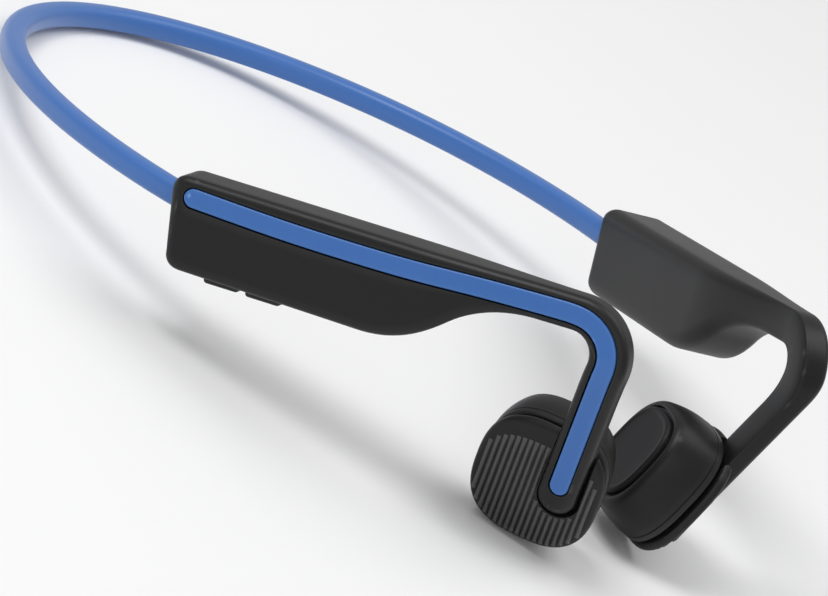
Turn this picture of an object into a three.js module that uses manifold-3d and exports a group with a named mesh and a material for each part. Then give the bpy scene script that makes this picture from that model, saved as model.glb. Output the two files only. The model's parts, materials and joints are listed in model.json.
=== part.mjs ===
// Bone conduction headphones: a neckband joined to two rear housings, each with an ear hook
// that bends down to a flat transducer. Millimetres, +Z up, wearer facing -Y, left ear at +X.
import * as THREE from "three";
import * as BufferGeometryUtils from "three/addons/utils/BufferGeometryUtils.js";
import Module from "manifold-3d";

const wasm = await Module();
wasm.setup();

// ---- Driving dimensions ----
const CLEARANCE = 0.3;
const RAD = Math.PI / 180;

// Whole object
const UNIT_OUTER_X = 50.8;
const UNIT_TOE_IN = 25.3 * RAD;
const UNIT_LEAN = 2.8 * RAD;
const UNIT_NOSE_DOWN = 1.2 * RAD;
const REST_TILT = 21.94 * RAD;

// Neckband
const BAND_HALF_WIDTH = 44.9;
const BAND_DEPTH = 54.5;
const BAND_CENTRE_Y = 13.5;
const BAND_RISE = 10.4 * RAD;
const BAND_PIVOT = { y: 0, z: -4.4 };
const BAND_SECTION = { width: 3.5, height: 3.3, corner: 1.1 };
const BAND_START_Y = -1.0;
const FLEX_Y = 17.0;
const FLEX_GAP = 1.0;
const CORE_GAP = 0.4;
const WIRE_RADIUS = 0.4;
const CABLE_RADIUS = 0.35;
const WIRE_OFFSET = -0.75;
const CABLE_OFFSET = 0.8;
const CORE_BORE_GAP = 0.25;

// Unit: rear housing, ear hook and tongue, drawn from the side
const POD_HEIGHT = 12.8;
const POD_THICKNESS = 9.2;
const POD_END = 42.8;
const POD_CORNER = 2.3;
const REAR_SLOPE = 1.5;
const BOTTOM_RISE = 0.4;
const BELLY_U = 29.1;
const EDGE_BEVEL = 1.2;
const WALL = 1.2;
const PARTING_Z = -6.2;
const CAVITY_TOP_Z = -2.4;
const ARM_HEIGHT = 4.7;
const BEND_CENTRE = { u: 56.6, v: -7.85 };
const BEND_RADIUS = 7.85;
const INNER_BEND_CENTRE = { u: 56.1, v: -7.75 };
const INNER_BEND_RADIUS = 3.05;
const TONGUE_SLOPE = 11.5 * RAD;
const TONGUE_HALF_WIDTH = 2.6;
const TONGUE_LENGTH = 19.6;

// How the hook leaves the plane of the housing
const HOOK_START = 34.0;
const HOOK_END = 57.0;
const HOOK_INSET = 1.6;
const HOOK_THICKNESS = 4.3;
const TONGUE_THICKNESS = 3.4;
const TONGUE_LEAN = 25.0 * RAD;
const TONGUE_TOP = -7.0;
const TONGUE_EASE = 4.0;
const SKIN_DEPTH = 2.5;
const BEND_TOLERANCE = 0.16;

// Accent strip
const STRIP_HALF_WIDTH = 1.3;
const STRIP_DEPTH = 0.9;
const STRIP_GROOVE_GAP = 0.25;
const STRIP_END_GAP = 1.6;

// Controls under the right housing
const BUTTON_LENGTH = 5.0;
const BUTTON_WIDTH = 2.6;
const BUTTON_PROUD = 1.0;
const BUTTON_TRAVEL = 0.4;
const BUTTON_CENTRES = { volume_up_button: 14.9, volume_down_button: 9.0 };
const BUTTON_Z = -4.4;
const PORT_CENTRE_U = 26.5;
const PORT_LENGTH = 8.6;
const PORT_WIDTH = 3.2;
const COVER_THICKNESS = 0.9;
const LED_U = 19.8;
const LED_RADIUS = 0.8;
const MIC_U = 32.4;

// Transducer, measured along its own outward normal from the outer face of its cap
const CAP_CENTRE = { u: 54.4, v: -27.9 };
const CAP_LEAN = 24.0 * RAD;
const CAP_HALF = { x: 8.8, y: 9.4 };
const CUP_HALF = { x: 8.6, y: 9.2 };
const PAD_HALF = { x: 5.9, y: 6.6 };
const SQUARENESS = 2.7;
const CAP_THICKNESS = 1.9;
const TONGUE_SINK = 1.9;
const CUP_TOP = -2.5;
const CUP_BOTTOM = -10.0;
const PAD_FACE = -10.6;
const CUP_LID = 0.8;
const CUP_WALL = 1.1;
const CUP_CURVE = [[-9.6, 1.25], [-8.6, 0.85], [-7, 0.45], [-5, 0.1]];
const POST_RADIUS = 1.7;
const POST_OFFSET = 3.2;

// ---- Finishes ----
const colour = (hex, roughness, metalness = 0) =>
  new THREE.MeshStandardMaterial({ color: hex, roughness, metalness });
const BLUE_SILICONE = colour(0x3f6fb8, 0.5);
const BLUE_STRIP = colour(0x3866b7, 0.35);
const SOFT_BLACK = colour(0x2d2d2d, 0.6);
const RIB_BLACK = colour(0x3a3a3c, 0.65);
const PAD_BLACK = colour(0x1b1c1f, 0.5);
const TITANIUM = colour(0x9a9890, 0.35, 1);
const STEEL = colour(0xb8babd, 0.3, 1);
const COPPER = colour(0xb56c3c, 0.4, 1);
const CABLE_GREY = colour(0x55565a, 0.6);
const BOARD_GREEN = colour(0x1f5a3c, 0.5);
const CHIP_BLACK = colour(0x202124, 0.4);
const CELL_SILVER = colour(0xaeb1b5, 0.35, 0.8);
const LENS_WHITE = colour(0xdfe4e8, 0.2);

// ---- Geometry helpers ----
function box(min, max) {
  const size = new THREE.Vector3().subVectors(max, min);
  const geometry = new THREE.BoxGeometry(size.x, size.y, size.z);
  return geometry.translate(...new THREE.Vector3().addVectors(min, max).multiplyScalar(0.5));
}

function boxAt(u0, u1, v0, v1, z0, z1) {
  return box(new THREE.Vector3(u0, v0, z0), new THREE.Vector3(u1, v1, z1));
}

// A box centred across the housing on the line of the buttons.
function buttonLineBox(u, half, v0, v1, halfDepth) {
  return boxAt(u - half, u + half, v0, v1, BUTTON_Z - halfDepth, BUTTON_Z + halfDepth);
}

// One vertex for each place, and no triangle that has shrunk to a line.
function merged(geometry) {
  const bare = geometry.clone();
  bare.deleteAttribute("normal");
  bare.deleteAttribute("uv");
  const closed = BufferGeometryUtils.mergeVertices(bare, 1e-4);
  const corners = Array.from(closed.index.array);
  const kept = [];
  for (let i = 0; i < corners.length; i += 3) {
    const [a, b, c] = corners.slice(i, i + 3);
    if (a !== b && b !== c && c !== a) {
      kept.push(a, b, c);
    }
  }
  closed.setIndex(kept);
  return closed;
}

function solid(geometry) {
  const closed = merged(geometry);
  const vertProperties = new Float32Array(closed.attributes.position.array);
  const triVerts = new Uint32Array(closed.index.array);
  return new wasm.Manifold(new wasm.Mesh({ numProp: 3, vertProperties, triVerts }));
}

function surface(manifold) {
  const mesh = manifold.getMesh();
  const geometry = new THREE.BufferGeometry();
  const positions = new Float32Array((mesh.vertProperties.length / mesh.numProp) * 3);
  for (let i = 0; i < positions.length / 3; i += 1) {
    positions.set(mesh.vertProperties.slice(i * mesh.numProp, i * mesh.numProp + 3), i * 3);
  }
  geometry.setAttribute("position", new THREE.BufferAttribute(positions, 3));
  geometry.setIndex(new THREE.BufferAttribute(new Uint32Array(mesh.triVerts), 1));
  return geometry;
}

function cut(geometry, ...tools) {
  let body = solid(geometry);
  for (const tool of tools) {
    body = body.subtract(solid(tool));
  }
  return surface(body);
}

function join(geometry, ...others) {
  let body = solid(geometry);
  for (const other of others) {
    body = body.add(solid(other));
  }
  return surface(body);
}

function keep(geometry, region) {
  return surface(solid(geometry).intersect(solid(region)));
}

// Turns the winding over, which a mirrored shape needs.
function flipped(geometry) {
  const turned = geometry.index ? geometry : merged(geometry);
  const index = turned.index.array;
  for (let i = 0; i < index.length; i += 3) {
    [index[i + 1], index[i + 2]] = [index[i + 2], index[i + 1]];
  }
  return turned;
}

// Splits each edge that a test picks at its middle, the same way in both of its triangles.
function refined(geometry, needsSplit) {
  let current = merged(geometry);
  for (let pass = 0; pass < 6; pass += 1) {
    const points = Array.from(current.attributes.position.array);
    const index = current.index.array;
    const middles = new Map();
    const at = (i) => new THREE.Vector3().fromArray(points, i * 3);
    const middle = (a, b) => {
      const key = a < b ? `${a}_${b}` : `${b}_${a}`;
      if (!middles.has(key)) {
        const [start, end] = [at(Math.min(a, b)), at(Math.max(a, b))];
        const point = start.clone().lerp(end, 0.5);
        middles.set(key, needsSplit(start, end) ? points.push(...point) / 3 - 1 : null);
      }
      return middles.get(key);
    };
    const triangles = [];
    for (let i = 0; i < index.length; i += 3) {
      triangles.push(...splitTriangle([index[i], index[i + 1], index[i + 2]], middle));
    }
    if (triangles.length === index.length) {
      return current;
    }
    current = new THREE.BufferGeometry();
    current.setAttribute("position", new THREE.BufferAttribute(new Float32Array(points), 3));
    current.setIndex(triangles);
  }
  return current;
}

function splitTriangle(corners, middle) {
  const mids = corners.map((corner, i) => middle(corner, corners[(i + 1) % 3]));
  const split = mids.filter((mid) => mid !== null).length;
  const turn = split === 1 ? mids.findIndex((mid) => mid !== null) : mids.findIndex((mid) => mid === null);
  const first = Math.max(turn, 0);
  const [a, b, c] = [0, 1, 2].map((i) => corners[(i + first) % 3]);
  const [ab, bc, ca] = [0, 1, 2].map((i) => mids[(i + first) % 3]);
  if (split === 0) {
    return corners;
  }
  if (split === 1) {
    return [a, ab, c, ab, b, c];
  }
  if (split === 2) {
    return [a, b, bc, a, bc, ca, ca, bc, c];
  }
  return [a, ab, ca, ab, b, bc, ca, bc, c, ab, bc, ca];
}

function disc(radius, z0, z1, sides = 20, x = 0, y = 0) {
  const geometry = new THREE.CylinderGeometry(radius, radius, z1 - z0, sides);
  return geometry.rotateX(Math.PI / 2).translate(x, y, (z0 + z1) / 2);
}

function ring(inner, outer, z0, z1, sides = 24) {
  const profile = [[inner, z0], [outer, z0], [outer, z1], [inner, z1], [inner, z0]];
  const points = profile.map(([r, z]) => new THREE.Vector2(r, z));
  return new THREE.LatheGeometry(points, sides).rotateX(Math.PI / 2);
}

function tube(points, radius, steps, sides = 8) {
  const section = new THREE.Shape();
  section.absarc(0, 0, radius, 0, 2 * Math.PI);
  const extrudePath = new THREE.CatmullRomCurve3(points);
  const options = { steps, extrudePath, bevelEnabled: false, curveSegments: sides };
  return new THREE.ExtrudeGeometry(section, options);
}

function superellipse(halfX, halfY, sides = 24) {
  const power = 2 / SQUARENESS;
  const points = [];
  for (let i = 0; i < sides; i += 1) {
    const angle = (i / sides) * 2 * Math.PI;
    const [c, s] = [Math.cos(angle), Math.sin(angle)];
    points.push(new THREE.Vector2(
      halfX * Math.sign(c) * Math.abs(c) ** power,
      halfY * Math.sign(s) * Math.abs(s) ** power,
    ));
  }
  return new THREE.Shape(points);
}

// The outline's points, without the doubled ones where two of its stretches meet.
function plainOutline(shape, curveSegments) {
  const points = shape.getPoints(curveSegments);
  const apart = points.filter((point, i) => point.distanceTo(points.at(i - 1)) > 0.01);
  return new THREE.Shape(apart);
}

function slab(shape, z0, z1, bevel = 0, curveSegments = 8) {
  const geometry = new THREE.ExtrudeGeometry(plainOutline(shape, curveSegments), {
    depth: z1 - z0 - 2 * bevel,
    bevelEnabled: bevel > 0,
    bevelThickness: bevel,
    bevelSize: bevel,
    bevelOffset: -bevel,
    bevelSegments: 2,
  });
  return geometry.translate(0, 0, z0 + bevel);
}

// A slab whose edges are rounded over on both faces, ring by ring, by the same outline drawn inwards.
function roundedSlab(shape, z0, z1, round, curveSegments, rings = 2) {
  const outline = plainOutline(shape, curveSegments).getPoints();
  if (THREE.ShapeUtils.isClockWise(outline)) {
    outline.reverse();
  }
  const lower = [];
  for (let i = rings; i >= 0; i -= 1) {
    const angle = (i / rings) * (Math.PI / 2);
    lower.push({ z: z0 + round * (1 - Math.sin(angle)), inwards: round * (1 - Math.cos(angle)) });
  }
  const upper = lower.map(({ z, inwards }) => ({ z: z1 + z0 - z, inwards })).reverse();
  const rounds = [...lower, ...upper];
  const stack = rounds.map(({ z, inwards }) =>
    drawnIn(outline, inwards).map((point) => new THREE.Vector3(point.x, point.y, z)));
  return loft(stack, drawnIn(outline, round));
}

function drawnIn(outline, distance) {
  return outline.map((point, i) => {
    const first = point.clone().sub(outline.at(i - 1)).normalize();
    const second = outline[(i + 1) % outline.length].clone().sub(point).normalize();
    const mitre = first.clone().add(second).normalize();
    const inwards = new THREE.Vector2(-mitre.y, mitre.x);
    return point.clone().addScaledVector(inwards, distance / Math.max(mitre.dot(first), 0.7));
  });
}

// Joins rings of equal length from the lowest to the highest, and closes both ends.
function loft(stack, endOutline) {
  const count = endOutline.length;
  const index = [];
  for (let ring = 0; ring < stack.length - 1; ring += 1) {
    for (let i = 0; i < count; i += 1) {
      const [a, b] = [ring * count + i, ring * count + ((i + 1) % count)];
      index.push(a, b, b + count, a, b + count, a + count);
    }
  }
  const top = (stack.length - 1) * count;
  for (const [a, b, c] of THREE.ShapeUtils.triangulateShape(endOutline, [])) {
    index.push(c, b, a, top + a, top + b, top + c);
  }
  const geometry = new THREE.BufferGeometry().setFromPoints(stack.flat());
  return geometry.setIndex(index);
}

// ---- The unit seen from the side: u runs forwards, v up, z outwards from the outer face ----
const tongueDown = new THREE.Vector2(-Math.sin(TONGUE_SLOPE), -Math.cos(TONGUE_SLOPE));
const tongueAcross = new THREE.Vector2(Math.cos(TONGUE_SLOPE), -Math.sin(TONGUE_SLOPE));
const tongueStart = new THREE.Vector2(INNER_BEND_CENTRE.u, INNER_BEND_CENTRE.v)
  .addScaledVector(tongueAcross, INNER_BEND_RADIUS + TONGUE_HALF_WIDTH);
const tongueEnd = tongueStart.clone().addScaledVector(tongueDown, TONGUE_LENGTH);

// The housing's underside climbs a little from the belly to the rear.
const RISE_RUN = BELLY_U - REAR_SLOPE - POD_CORNER;
const podBottom = (u) => BOTTOM_RISE * Math.max(BELLY_U - u, 0) / RISE_RUN - POD_HEIGHT;

function unitOutline() {
  const rearBottom = BOTTOM_RISE - POD_HEIGHT;
  const shape = new THREE.Shape();
  shape.moveTo(POD_CORNER, 0);
  shape.lineTo(BEND_CENTRE.u, 0);
  shape.absarc(BEND_CENTRE.u, BEND_CENTRE.v, BEND_RADIUS, Math.PI / 2, -TONGUE_SLOPE, true);
  shape.absarc(tongueEnd.x, tongueEnd.y, TONGUE_HALF_WIDTH, -TONGUE_SLOPE, -TONGUE_SLOPE - Math.PI, true);
  const { u, v } = INNER_BEND_CENTRE;
  shape.absarc(u, v, INNER_BEND_RADIUS, -TONGUE_SLOPE, Math.PI / 2, false);
  shape.lineTo(51, -ARM_HEIGHT);
  shape.bezierCurveTo(46.9, -ARM_HEIGHT, 43, -5.95, 40.1, -8.45);
  shape.bezierCurveTo(37.1, -11, 33.9, -POD_HEIGHT, BELLY_U, -POD_HEIGHT);
  shape.lineTo(REAR_SLOPE + POD_CORNER, rearBottom);
  shape.quadraticCurveTo(REAR_SLOPE, rearBottom, REAR_SLOPE - 0.2, rearBottom + POD_CORNER);
  shape.lineTo(0.2, -POD_CORNER);
  shape.quadraticCurveTo(0, 0, POD_CORNER, 0);
  return shape;
}

function cavityOutline() {
  const shape = new THREE.Shape();
  const floor = WALL - POD_HEIGHT;
  shape.moveTo(WALL + 0.4, -WALL);
  shape.lineTo(POD_END + 1, -WALL);
  shape.lineTo(POD_END + 1, -ARM_HEIGHT - 0.4);
  shape.bezierCurveTo(42.3, -5.4, 41, -6.2, 39.4, -7.5);
  shape.bezierCurveTo(36.6, -9.9, 33.4, floor, BELLY_U, floor);
  shape.lineTo(REAR_SLOPE + WALL, floor + BOTTOM_RISE);
  shape.closePath();
  return shape;
}

// The middle line of the accent strip: a shallow sag along the housing, round the bend, down the tongue.
function stripLine() {
  const rear = new THREE.SplineCurve([
    new THREE.Vector2(3.5, -2.55),
    new THREE.Vector2(17, -3.05),
    new THREE.Vector2(31, -3.05),
    new THREE.Vector2(43.5, -2.6),
    new THREE.Vector2(55.7, -2.4),
  ]).getPoints(18);
  const radius = tongueStart.distanceTo(new THREE.Vector2(INNER_BEND_CENTRE.u, INNER_BEND_CENTRE.v));
  const bend = [];
  for (let i = 1; i <= 9; i += 1) {
    const angle = Math.PI / 2 - (i / 9) * (Math.PI / 2 + TONGUE_SLOPE);
    bend.push(new THREE.Vector2(
      INNER_BEND_CENTRE.u + radius * Math.cos(angle),
      INNER_BEND_CENTRE.v + (radius - 0.36) * Math.sin(angle),
    ));
  }
  const tongueRun = TONGUE_LENGTH - STRIP_END_GAP;
  const along = (part) => bend[8].clone().addScaledVector(tongueDown, part * tongueRun);
  const tongue = [0.25, 0.5, 0.75, 1].map(along);
  return [...rear, ...bend, ...tongue];
}

// A band of constant width round a line of points, with round ends.
function ribbon(line, half) {
  const left = [];
  const right = [];
  line.forEach((point, i) => {
    const before = line[Math.max(i - 1, 0)];
    const after = line[Math.min(i + 1, line.length - 1)];
    const along = after.clone().sub(before).normalize();
    const across = new THREE.Vector2(-along.y, along.x);
    left.push(point.clone().addScaledVector(across, half));
    right.push(point.clone().addScaledVector(across, -half));
  });
  const cap = (centre, from) => [1, 2, 3, 4, 5].map((i) => {
    const angle = from - (i / 6) * Math.PI;
    return new THREE.Vector2(Math.cos(angle), Math.sin(angle)).multiplyScalar(half).add(centre);
  });
  const front = cap(line.at(-1), -TONGUE_SLOPE);
  const first = line[1].clone().sub(line[0]).angle();
  const back = cap(line[0], first - Math.PI / 2);
  return new THREE.Shape([...left, ...front, ...right.reverse(), ...back]);
}

// ---- Bending the flat unit into its real shape ----
const ease = (t) => THREE.MathUtils.smoothstep(t, 0, 1);

function insetAt(u, v) {
  const drop = Math.max(TONGUE_TOP - v, 0);
  const eased = drop < TONGUE_EASE ? (drop * drop) / (2 * TONGUE_EASE) : drop - TONGUE_EASE / 2;
  const onTongue = ease((u - 46) / 6);
  const along = ease((u - HOOK_START) / (HOOK_END - HOOK_START));
  return HOOK_INSET * along + Math.tan(TONGUE_LEAN) * eased * onTongue;
}

function thicknessAt(u, v) {
  const along = ease((u - HOOK_START) / (HOOK_END - HOOK_START));
  const down = ease((TONGUE_TOP - v) / 6) * ease((u - 46) / 6);
  const hook = THREE.MathUtils.lerp(POD_THICKNESS, HOOK_THICKNESS, along);
  return THREE.MathUtils.lerp(hook, TONGUE_THICKNESS, down);
}

function bendPoint(point) {
  const { x: u, y: v, z } = point;
  const squeeze = (thicknessAt(u, v) - SKIN_DEPTH) / (POD_THICKNESS - SKIN_DEPTH);
  const depth = z > -SKIN_DEPTH ? z : -SKIN_DEPTH + (z + SKIN_DEPTH) * squeeze;
  return new THREE.Vector3(u, v, depth - insetAt(u, v));
}

// An edge is split where it would cut a corner of the bent shape.
function straysWhenBent(start, end) {
  const [first, last] = [bendPoint(start), bendPoint(end)];
  return [0.25, 0.5, 0.75].some((t) => {
    const onCurve = bendPoint(start.clone().lerp(end, t));
    return onCurve.distanceTo(first.clone().lerp(last, t)) > BEND_TOLERANCE;
  });
}

function bent(geometry) {
  const fine = refined(geometry, straysWhenBent);
  const position = fine.attributes.position;
  const point = new THREE.Vector3();
  for (let i = 0; i < position.count; i += 1) {
    point.fromBufferAttribute(position, i);
    position.setXYZ(i, ...bendPoint(point));
  }
  return fine;
}

// ---- Frames: the transducer in the unit, the unit in the object ----
function transducerMatrix() {
  const outward = new THREE.Vector3(0, -Math.sin(CAP_LEAN), Math.cos(CAP_LEAN));
  const climb = -Math.tan(TONGUE_LEAN) * tongueDown.y;
  const up = new THREE.Vector3(-tongueDown.x, -tongueDown.y, climb);
  up.addScaledVector(outward, -up.dot(outward)).normalize();
  const across = new THREE.Vector3().crossVectors(up, outward);
  const tipV = tongueEnd.y - TONGUE_HALF_WIDTH;
  const tipDepth = insetAt(tongueEnd.x, tipV) + TONGUE_THICKNESS - TONGUE_SINK;
  const depth = tipDepth - (CAP_CENTRE.v - tipV) * Math.tan(CAP_LEAN);
  const matrix = new THREE.Matrix4().makeBasis(across, up, outward);
  return matrix.setPosition(CAP_CENTRE.u, CAP_CENTRE.v, -depth);
}

function unitMatrix() {
  const forward = new THREE.Vector3(Math.sin(UNIT_TOE_IN), -Math.cos(UNIT_TOE_IN), 0);
  const outward = new THREE.Vector3(
    -Math.cos(UNIT_TOE_IN) * Math.cos(UNIT_LEAN),
    -Math.sin(UNIT_TOE_IN) * Math.cos(UNIT_LEAN),
    -Math.sin(UNIT_LEAN),
  );
  const up = new THREE.Vector3().crossVectors(outward, forward);
  const level = new THREE.Matrix4().makeBasis(forward, up, outward);
  const nose = new THREE.Matrix4().makeRotationZ(-UNIT_NOSE_DOWN);
  return level.multiply(nose).setPosition(-UNIT_OUTER_X, 0, 0);
}

const TRANSDUCER = transducerMatrix();
const UNIT = unitMatrix();

// ---- Rear housing and hook ----
function unitBlank() {
  return roundedSlab(unitOutline(), -POD_THICKNESS, 0, EDGE_BEVEL, 6);
}

function bandPoint(angle) {
  const x = -BAND_HALF_WIDTH * Math.cos(angle);
  const y = BAND_CENTRE_Y + BAND_DEPTH * Math.sin(angle);
  return new THREE.Vector3(x, y, 0);
}

const BAND_PLANE = new THREE.Matrix4()
  .makeRotationX(BAND_RISE)
  .premultiply(new THREE.Matrix4().makeTranslation(0, BAND_PIVOT.y, BAND_PIVOT.z));
const angleAtY = (y) => Math.asin((y - BAND_CENTRE_Y) / BAND_DEPTH);

function bandSection(grow = 0) {
  const { width, height, corner } = BAND_SECTION;
  const [w, h, r] = [width / 2 + grow, height / 2 + grow, corner];
  const shape = new THREE.Shape();
  shape.absarc(h - r, w - r, r, 0, Math.PI / 2);
  shape.absarc(r - h, w - r, r, Math.PI / 2, Math.PI);
  shape.absarc(r - h, r - w, r, Math.PI, 1.5 * Math.PI);
  shape.absarc(h - r, r - w, r, 1.5 * Math.PI, 2 * Math.PI);
  shape.closePath();
  return shape;
}

function bandRun(shape, from, to, steps) {
  const points = [];
  for (let i = 0; i <= steps; i += 1) {
    points.push(bandPoint(THREE.MathUtils.lerp(from, to, i / steps)));
  }
  const extrudePath = new THREE.CatmullRomCurve3(points);
  const settings = { steps, extrudePath, bevelEnabled: false, curveSegments: 1 };
  return new THREE.ExtrudeGeometry(shape, settings).applyMatrix4(BAND_PLANE);
}

function coreSection(radius, offset, sides = 8) {
  const points = [];
  for (let i = 0; i < sides; i += 1) {
    const angle = (i / sides) * 2 * Math.PI;
    points.push(new THREE.Vector2(radius * Math.cos(angle), offset + radius * Math.sin(angle)));
  }
  return new THREE.Shape(points);
}

function sleeveSection() {
  const shape = bandSection();
  shape.holes.push(coreSection(WIRE_RADIUS + CORE_BORE_GAP, WIRE_OFFSET));
  shape.holes.push(coreSection(CABLE_RADIUS + CORE_BORE_GAP, CABLE_OFFSET));
  return shape;
}

// The channel that the sleeve's end takes in the rear wall of the housing, in the unit's frame.
function bandSocket() {
  const inUnit = UNIT.clone().invert();
  return bandRun(bandSection(CLEARANCE), angleAtY(BAND_START_Y - 2), angleAtY(12), 6).applyMatrix4(inUnit);
}

function buttonSlot(u, grow) {
  const half = BUTTON_LENGTH / 2 + grow;
  const width = BUTTON_WIDTH / 2 + grow;
  return buttonLineBox(u, half, -POD_HEIGHT - 2, WALL - POD_HEIGHT + 0.6, width);
}

function portSlot() {
  const half = PORT_LENGTH / 2 + CLEARANCE;
  const low = -POD_HEIGHT - 1;
  const high = WALL - POD_HEIGHT + 0.5;
  const [inner, outer] = [PARTING_Z - 1, BUTTON_Z + PORT_WIDTH / 2 + CLEARANCE];
  return boxAt(PORT_CENTRE_U - half, PORT_CENTRE_U + half, low, high, inner, outer);
}

function wallHole(radius, u, v) {
  const drill = new THREE.CylinderGeometry(radius, radius, 6, 14);
  return drill.translate(u, v, BUTTON_Z);
}

function outerShell(side) {
  const region = boxAt(-1, POD_END, -20, 5, PARTING_Z, 1);
  const cavity = slab(cavityOutline(), PARTING_Z - 1, CAVITY_TOP_Z);
  const groove = slab(ribbon(stripLine(), STRIP_HALF_WIDTH + STRIP_GROOVE_GAP), -STRIP_DEPTH - CLEARANCE, 1);
  const tools = [cavity, groove, bandSocket(), wallHole(0.5, MIC_U, -POD_HEIGHT)];
  if (side === "right") {
    tools.push(...Object.values(BUTTON_CENTRES).map((u) => buttonSlot(u, 0.25)));
    tools.push(portSlot(), wallHole(LED_RADIUS + 0.2, LED_U, -POD_HEIGHT));
  }
  return bent(cut(keep(unitBlank(), region), ...tools));
}

function innerShell() {
  const region = boxAt(-1, POD_END, -20, 5, -20, PARTING_Z - CLEARANCE);
  const cavity = slab(cavityOutline(), WALL - POD_THICKNESS, 0);
  return bent(cut(keep(unitBlank(), region), cavity, bandSocket()));
}

function hookPath(offset, from, to) {
  const line = stripLine().filter((point) => point.x > from && point.y > to);
  return line.map((point, i) => {
    const before = line[Math.max(i - 1, 0)];
    const after = line[Math.min(i + 1, line.length - 1)];
    const along = after.clone().sub(before).normalize();
    const across = new THREE.Vector2(-along.y, along.x);
    const moved = point.clone().addScaledVector(across, offset);
    const depth = STRIP_DEPTH + CLEARANCE + (thicknessAt(moved.x, moved.y) - STRIP_DEPTH - CLEARANCE) / 2;
    return new THREE.Vector3(moved.x, moved.y, -depth - insetAt(moved.x, moved.y));
  });
}

function earHook() {
  const region = boxAt(POD_END + CLEARANCE, 80, -40, 5, -20, 5);
  const groove = slab(ribbon(stripLine(), STRIP_HALF_WIDTH + STRIP_GROOVE_GAP), -STRIP_DEPTH - CLEARANCE, 1);
  const blade = bent(cut(keep(unitBlank(), region), groove));
  const post = disc(POST_RADIUS, CUP_TOP + CLEARANCE, -0.8, 16, POST_OFFSET, 0).applyMatrix4(TRANSDUCER);
  const wireBore = tube(hookPath(0.65, 38, -23), WIRE_RADIUS + 0.3, 20, 3);
  const leadBore = tube(hookPath(-1.0, 38, -23), CABLE_RADIUS + 0.3, 20, 3);
  return cut(join(blade, post), wireBore, leadBore);
}

function accentStrip() {
  return bent(slab(ribbon(stripLine(), STRIP_HALF_WIDTH), -STRIP_DEPTH, 0));
}

// ---- Controls and electronics ----
function pushButton(u) {
  const foot = podBottom(u) - BUTTON_PROUD;
  const half = BUTTON_LENGTH / 2;
  const flangeFloor = podBottom(u - half - 0.4) + WALL + CLEARANCE;
  const width = BUTTON_WIDTH / 2;
  const cap = boxAt(u - half, u + half, foot, flangeFloor + 0.5, BUTTON_Z - width, BUTTON_Z + width);
  const flange = buttonLineBox(u, half + 0.3, flangeFloor, flangeFloor + 0.5, 1.6);
  return join(cap, flange);
}

function buttonSwitches() {
  const low = podBottom(0) + WALL + CLEARANCE + 0.5 + BUTTON_TRAVEL + 0.2;
  const body = (u) => boxAt(u - 1.5, u + 1.5, low, low + 1.2, -5.6, -3.2);
  const bodies = Object.values(BUTTON_CENTRES).map(body);
  const strip = boxAt(6.5, 17.4, low + 1.1, low + 1.6, -5.6, -3.2);
  return join(strip, ...bodies);
}

function portReceptacle() {
  const half = PORT_LENGTH / 2 - 0.2;
  const mouth = COVER_THICKNESS + 0.5 - POD_HEIGHT;
  const shell = buttonLineBox(PORT_CENTRE_U, half, mouth, mouth + 6.2, 1.5);
  const inside = buttonLineBox(PORT_CENTRE_U, half - 0.4, mouth - 1, mouth + 5.4, 1.1);
  const tongue = buttonLineBox(PORT_CENTRE_U, 3, mouth + 1.4, mouth + 5.8, 0.3);
  return join(cut(shell, inside), tongue);
}

function portCover() {
  const half = PORT_LENGTH / 2;
  const [low, high] = [-POD_HEIGHT, COVER_THICKNESS - POD_HEIGHT];
  const width = PORT_WIDTH / 2;
  const plate = buttonLineBox(PORT_CENTRE_U, half, low, high, width);
  const plug = buttonLineBox(PORT_CENTRE_U, 3, high - 0.1, high + 0.3, 0.8);
  return join(plate, plug);
}

function lightPipe() {
  const geometry = new THREE.CylinderGeometry(LED_RADIUS, LED_RADIUS, 1.6, 14);
  return geometry.translate(LED_U, 0.8 - POD_HEIGHT, BUTTON_Z);
}

function circuitBoard() {
  const board = boxAt(8.6, 21.4, -7.2, -1.7, -5.6, -4.9);
  return cut(board, boxAt(16, 17, -4, -3, -6, -4));
}

function roundedCell() {
  const shape = new THREE.Shape();
  const [u0, u1, v0, v1, r] = [9.0, 30.6, -10.8, -1.7, 1.0];
  shape.absarc(u1 - r, v1 - r, r, 0, Math.PI / 2);
  shape.absarc(u0 + r, v1 - r, r, Math.PI / 2, Math.PI);
  shape.absarc(u0 + r, v0 + r, r, Math.PI, 1.5 * Math.PI);
  shape.absarc(u1 - r, v0 + r, r, 1.5 * Math.PI, 2 * Math.PI);
  shape.closePath();
  return slab(shape, -7.6, -2.8, 0.4, 2);
}

function wireFerrule() {
  const inUnit = UNIT.clone().invert();
  const centre = bandPoint(angleAtY(BAND_START_Y - 2.4)).applyMatrix4(BAND_PLANE).applyMatrix4(inUnit);
  const { x, y, z } = centre;
  const block = boxAt(x - 1.2, x + 1.2, y - 1.3, y + 1.3, z - 1.3, z + 2.0);
  const run = (radius, offset) =>
    bandRun(coreSection(radius + 0.25, offset), angleAtY(-8), angleAtY(8), 6).applyMatrix4(inUnit);
  return cut(block, run(WIRE_RADIUS, WIRE_OFFSET), run(CABLE_RADIUS, CABLE_OFFSET));
}

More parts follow.
